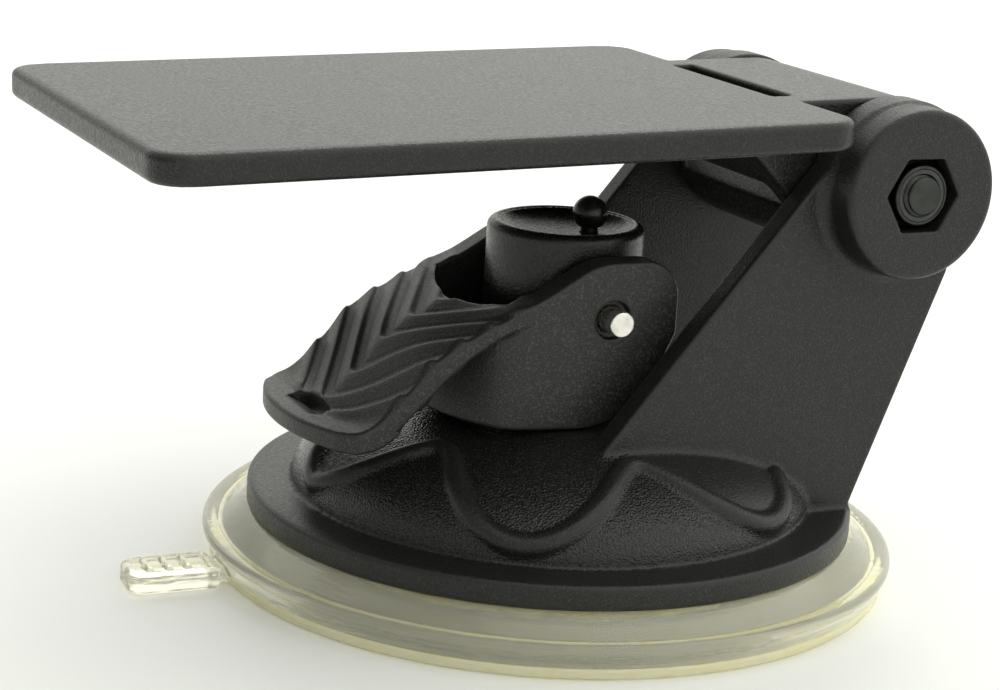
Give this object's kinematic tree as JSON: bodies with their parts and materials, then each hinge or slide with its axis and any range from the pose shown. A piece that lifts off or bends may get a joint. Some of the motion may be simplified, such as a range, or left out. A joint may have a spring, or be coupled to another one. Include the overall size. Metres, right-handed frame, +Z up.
{
  "type": "suction dashboard mount",
  "caption": "Lever-locked suction cup mount whose upright arms carry a flat platform that tilts on a bolted hinge, for a small dashboard device.",
  "frame": {"origin": "centre of the suction pad, on the surface that it sticks to", "axes": "+Z up, away from that surface; the hinge and cam pin axes lie along Y; the platform's free end and the lever's tip point to -X, the arms stand on the +X side"},
  "size_m": [0.1018, 0.0818, 0.0574],
  "materials": {
    "sticky_gel": "clear, faintly yellow, tacky gel",
    "clear_skirt": "clear glossy elastomer",
    "inner_plastic": "moulded, plain",
    "dark_zinc": "black zinc plate",
    "spring_steel": "drawn wire",
    "post_plastic": "fine spark texture",
    "bumper_rubber": "smooth, slightly glossy",
    "pin_steel": "bright ground steel",
    "lever_plastic": "fine spark texture on top, smoother sides",
    "housing_plastic": "fine spark texture on the arms, coarse pebble on the dome",
    "platform_plastic": "fine spark texture",
    "nylon": "dark nylon"
  },
  "bodies": {
    "root": {"gel_layer": "sticky_gel", "cup_skirt": "clear_skirt", "base_housing": "housing_plastic", "return_spring": "spring_steel", "washer_near": "bumper_rubber", "washer_far": "bumper_rubber", "hinge_bolt": "dark_zinc", "lock_nut": "dark_zinc", "nylon_ring": "nylon"},
    "plunger_body": {"anchor_plate": "inner_plastic", "anchor_screw": "dark_zinc", "plunger": "post_plastic", "post_bumper": "bumper_rubber", "cam_pin": "pin_steel"},
    "lever_body": {"lever": "lever_plastic"},
    "platform_body": {"platform": "platform_plastic"}
  },
  "joints": [
    {"name": "plunger_slide", "type": "slide", "parent": "root", "child": "plunger_body", "axis": [0, 0, 1], "range_m": [-0.00244, 0], "deforming": ["gel_layer", "cup_skirt", "return_spring"]},
    {"name": "lever_hinge", "type": "hinge", "parent": "plunger_body", "child": "lever_body", "pos_m": [0, 0, 0.0319], "axis": [0, 1, 0], "range_deg": [0, 40]},
    {"name": "platform_tilt", "type": "hinge", "parent": "root", "child": "platform_body", "pos_m": [0.0328, 0, 0.0472], "axis": [0, 1, 0], "range_deg": [-5, 110]}
  ],
  "couplings": [
    {"joint": "lever_hinge", "follows": "plunger_slide", "rad_per_m": -285.71}
  ]
}
